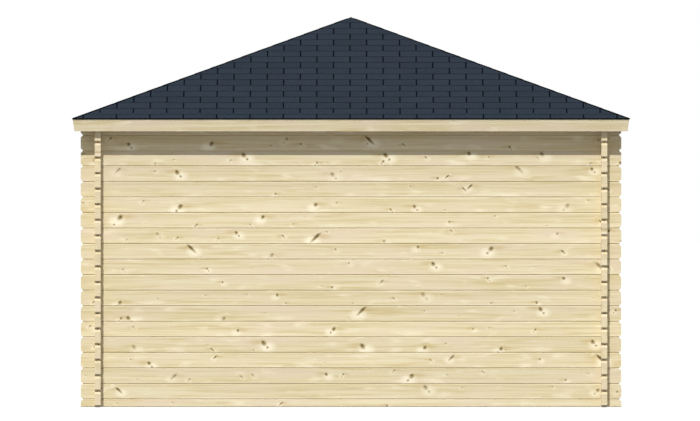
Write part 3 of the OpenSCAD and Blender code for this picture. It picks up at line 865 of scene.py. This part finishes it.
def lever(mesh, face, way):
    path = lever_path()
    loops = []
    for i, (x, out) in enumerate(path):
        before, after = path[max(i - 1, 0)], path[min(i + 1, len(path) - 1)]
        slope = Vector((after[0] - before[0], after[1] - before[1])).normalized()
        r = LEVER_R * (1 - LEVER_TAPER * x / lever_len)
        loops.append([Vector((handle_x + x + slope.y * u, face + way * (out - slope.x * u), handle_z + v))
                      for u, v in ring(r)])
    x, out = path[-1]
    r = LEVER_R * (1 - LEVER_TAPER)
    for share, rise in LEVER_END:
        depth = face + way * (out - r * rise)
        loops.append([Vector((handle_x + x - u * share, depth, handle_z + v * share)) for u, v in ring(r)])
    mesh.loft(loops)


def lock_outline():
    """A round lock cylinder with a narrower straight tail below."""
    start = math.asin(LOCK_NECK / LOCK_R)
    turns = [start - math.pi / 2 + 2 * (math.pi - start) * i / LOCK_SIDES for i in range(LOCK_SIDES + 1)]
    arc = [(LOCK_R * math.cos(turn), LOCK_R * math.sin(turn)) for turn in turns]
    return arc + [(-LOCK_NECK, -LOCK_TAIL), (LOCK_NECK, -LOCK_TAIL)]


levers = Mesh()
for way in (-1, 1):
    face = leaf_high.y if way > 0 else leaf_low.y
    outer = rounded(PLATE_W, plate_h, PLATE_ROUND)
    inner = rounded(PLATE_W - 2 * PLATE_EASE, plate_h - 2 * PLATE_EASE, PLATE_ROUND - PLATE_EASE)
    plate = [(outer, 0), (outer, PLATE_T - PLATE_EASE), (inner, PLATE_T)]
    stamp(levers, plate, handle_x, handle_z, face, way)
    outer, inner = ring(COLLAR_R), ring(COLLAR_R - COLLAR_EASE)
    collar = [(outer, PLATE_T - SEAT), (outer, PLATE_T + COLLAR_EDGE), (inner, PLATE_T + COLLAR_OUT)]
    stamp(levers, collar, handle_x, handle_z, face, way)
    lever(levers, face, way)
    lock = [(lock_outline(), PLATE_T - SEAT), (lock_outline(), PLATE_T + LOCK_OUT)]
    stamp(levers, lock, handle_x, handle_z - LOCK_DROP, face, way)
    for end in (-1, 1):
        screw(levers, handle_x, handle_z + end * (plate_h / 2 - PLATE_ROUND), face + way * PLATE_T, way)
lever_steel = satin_steel("lever_steel", "x")
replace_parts(levers.piece("door_lever_set", [lever_steel], "door_steel", 0.0, SOFT_EDGE), "door_handle")


# Hinges. Three steel butt hinges a leaf, screwed flat to the leaf and the jamb, with a round pin whose ends
# are domed caps.
HINGE_W = 0.03
HINGE_T = 0.003
PIN_R = 0.006
CAP_H = 0.004
CAP_SHAPE = [(1.15, 0), (1.15, 0.35), (0.85, 0.75), (0.35, 1)]
SCREW_OFFSET = 0.019
SCREW_STEP = 0.03
hinge_low, hinge_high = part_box("door_hinges")
hinge_x = hinge_high.x - HINGE_W
hinge_h = 2 * (leaf_low.z + 2 * STILE_W - hinge_low.z)
levels = (leaf_low.z + 2 * STILE_W, (leaf_low.z + leaf_high.z) / 2, leaf_high.z - 2 * STILE_W)
dress("door_hinges", satin_steel("hinge_steel", "z"))
fixings = Mesh()
for hand in (-1, 1):
    pin = Vector((hand * hinge_x, hinge_low.y + PIN_R, 0))
    for level in levels:
        for side in (-1, 1):
            for step in (-1, 0, 1):
                screw_x = pin.x + side * SCREW_OFFSET
                screw(fixings, screw_x, level + step * SCREW_STEP, hinge_low.y + HINGE_T, 1)
            cap = []
            for share, rise in CAP_SHAPE:
                z = level + side * (hinge_h / 2 + CAP_H * rise)
                cap.append([pin + Vector((u, v, z)) for u, v in ring(PIN_R * share)])
            fixings.loft(cap)
fixing_steel = satin_steel("fixing_steel", "y")
fixings.piece("hinge_screws_and_caps", [fixing_steel], "door_steel", 0.0, SOFT_EDGE)


# Photograph's stand point. It is an elevation of the back wall, so a very long lens looks at it squarely
# from far off, as high as the roof's point, which is then not drawn down by its distance.
FRAME_W, FRAME_H = 700, 421
LOG_SPAN_PX = 540.6
MIDDLE_PX, GROUND_PX = 351.0, 407.08
LENS, SENSOR = 800, 36
pixel = (logs_high.x - logs_low.x) / LOG_SPAN_PX
distance = pixel * FRAME_W * LENS / SENSOR
aim = Vector(((FRAME_W / 2 - MIDDLE_PX) * pixel, -wall_out, (GROUND_PX - FRAME_H / 2) * pixel))
camera = bpy.data.objects.new("elevation_camera", bpy.data.cameras.new("elevation_camera"))
camera.data.lens = LENS
camera.data.sensor_width = SENSOR
camera.data.clip_start = distance / 100
camera.data.clip_end = distance * 3
camera.location = Vector((aim.x, -wall_out - distance, shingle_high.z))
camera.rotation_euler = (aim - camera.location).to_track_quat("-Z", "Y").to_euler()
bpy.context.scene.collection.objects.link(camera)
bpy.context.scene.camera = camera


# Studio. A small bright lamp from the front, high and a little to the left, gives the sharp shadow under
# the eaves; a white surround, brighter overhead, fills it, and a pale floor runs out to the same white.
LIGHT_PATH = Vector((0.19, 1.0, -1.19))
LAMP_STRENGTH = 3.2
LAMP_COLOUR = (1.0, 0.99, 0.965)
LAMP_ANGLE = math.radians(0.6)
FILL_STRENGTH = 0.41
FILL_SLOPE = 0.15
FILL_COLOUR = (0.985, 1.0, 1.045, 1)
FLOOR_SIZE = 160.0
FLOOR_GREY = (0.1, 0.1, 0.1, 1)
FLOOR_GLOW = 0.96
WHITE = (1, 1, 1, 1)
lamp = bpy.data.objects.new("studio_lamp", bpy.data.lights.new("studio_lamp", "SUN"))
lamp.data.energy = LAMP_STRENGTH
lamp.data.color = LAMP_COLOUR
lamp.data.angle = LAMP_ANGLE
lamp.rotation_euler = LIGHT_PATH.to_track_quat("-Z", "Y").to_euler()
bpy.context.scene.collection.objects.link(lamp)

world = bpy.data.worlds.new("studio_surround")
world.use_nodes = True
bpy.context.scene.world = world
surround = Shade(world.node_tree)
seen = surround.node("ShaderNodeLightPath", out="Is Camera Ray")
height = surround.node("ShaderNodeTexCoord", out="Generated").split()[2]
fill = FILL_STRENGTH * (1 + FILL_SLOPE * height)
backdrop = world.node_tree.nodes["Background"]
world.node_tree.links.new(seen.blend(FILL_COLOUR, WHITE).socket, backdrop.inputs["Color"])
world.node_tree.links.new((fill + seen * (1 - fill)).socket, backdrop.inputs["Strength"])

half = FLOOR_SIZE / 2
floor_data = bpy.data.meshes.new("studio_floor")
floor_corners = [(-half, -half, 0), (half, -half, 0), (half, half, 0), (-half, half, 0)]
floor_data.from_pydata(floor_corners, [], [(0, 1, 2, 3)])
floor = bpy.data.objects.new("studio_floor", floor_data)
floor_paint, shade, shader = new_material("studio_floor_paint")
shader.inputs["Base Color"].default_value = FLOOR_GREY
shader.inputs["Roughness"].default_value = 1.0
shader.inputs["Specular IOR Level"].default_value = 0.0
shader.inputs["Emission Color"].default_value = WHITE
shader.inputs["Emission Strength"].default_value = FLOOR_GLOW
floor_data.materials.append(floor_paint)
floor.visible_diffuse = False
floor.visible_glossy = False
bpy.context.scene.collection.objects.link(floor)
bpy.context.scene.view_settings.view_transform = "Standard"
